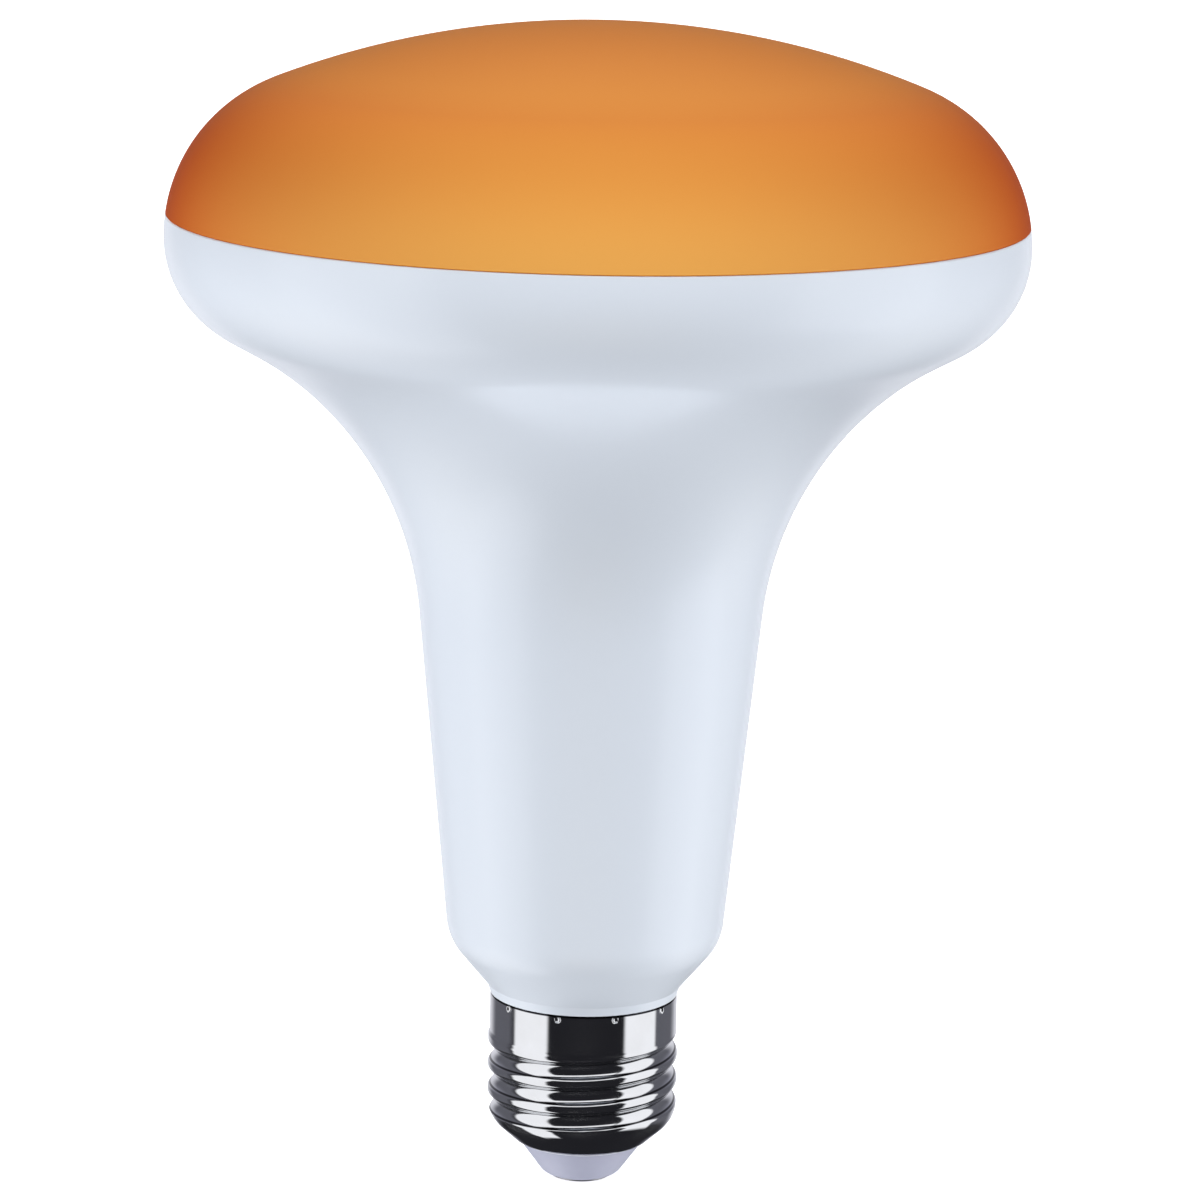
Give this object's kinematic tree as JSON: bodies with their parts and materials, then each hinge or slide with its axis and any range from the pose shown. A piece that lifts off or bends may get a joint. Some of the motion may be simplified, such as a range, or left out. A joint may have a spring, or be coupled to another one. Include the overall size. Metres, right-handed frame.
{
  "type": "reflector bulb",
  "caption": "Reflector LED bulb with a wide domed amber lens, a flared white housing with a long tapered neck, and a nickel-plated E26 screw cap.",
  "frame": {"origin": "middle of the centre contact's lower face, on the lamp's axis, the lowest point of the lamp", "axes": "+Z along the lamp's axis from the cap up to the lens; -Y is the side that the front view shows"},
  "size_m": [0.116, 0.116, 0.16],
  "materials": {
    "amber_lens": "amber diffusing plastic, satin outside",
    "white_housing": "moulded white plastic, soft gloss",
    "nickel_shell": "bright nickel plate on thin formed sheet",
    "insulator": "moulded pale plastic, satin",
    "contact": "plated contact, dull"
  },
  "bodies": {
    "root": {"lens": "amber_lens", "housing": "white_housing", "screw_shell": "nickel_shell", "insulator": "insulator", "centre_contact": "contact"}
  },
  "joints": []
}
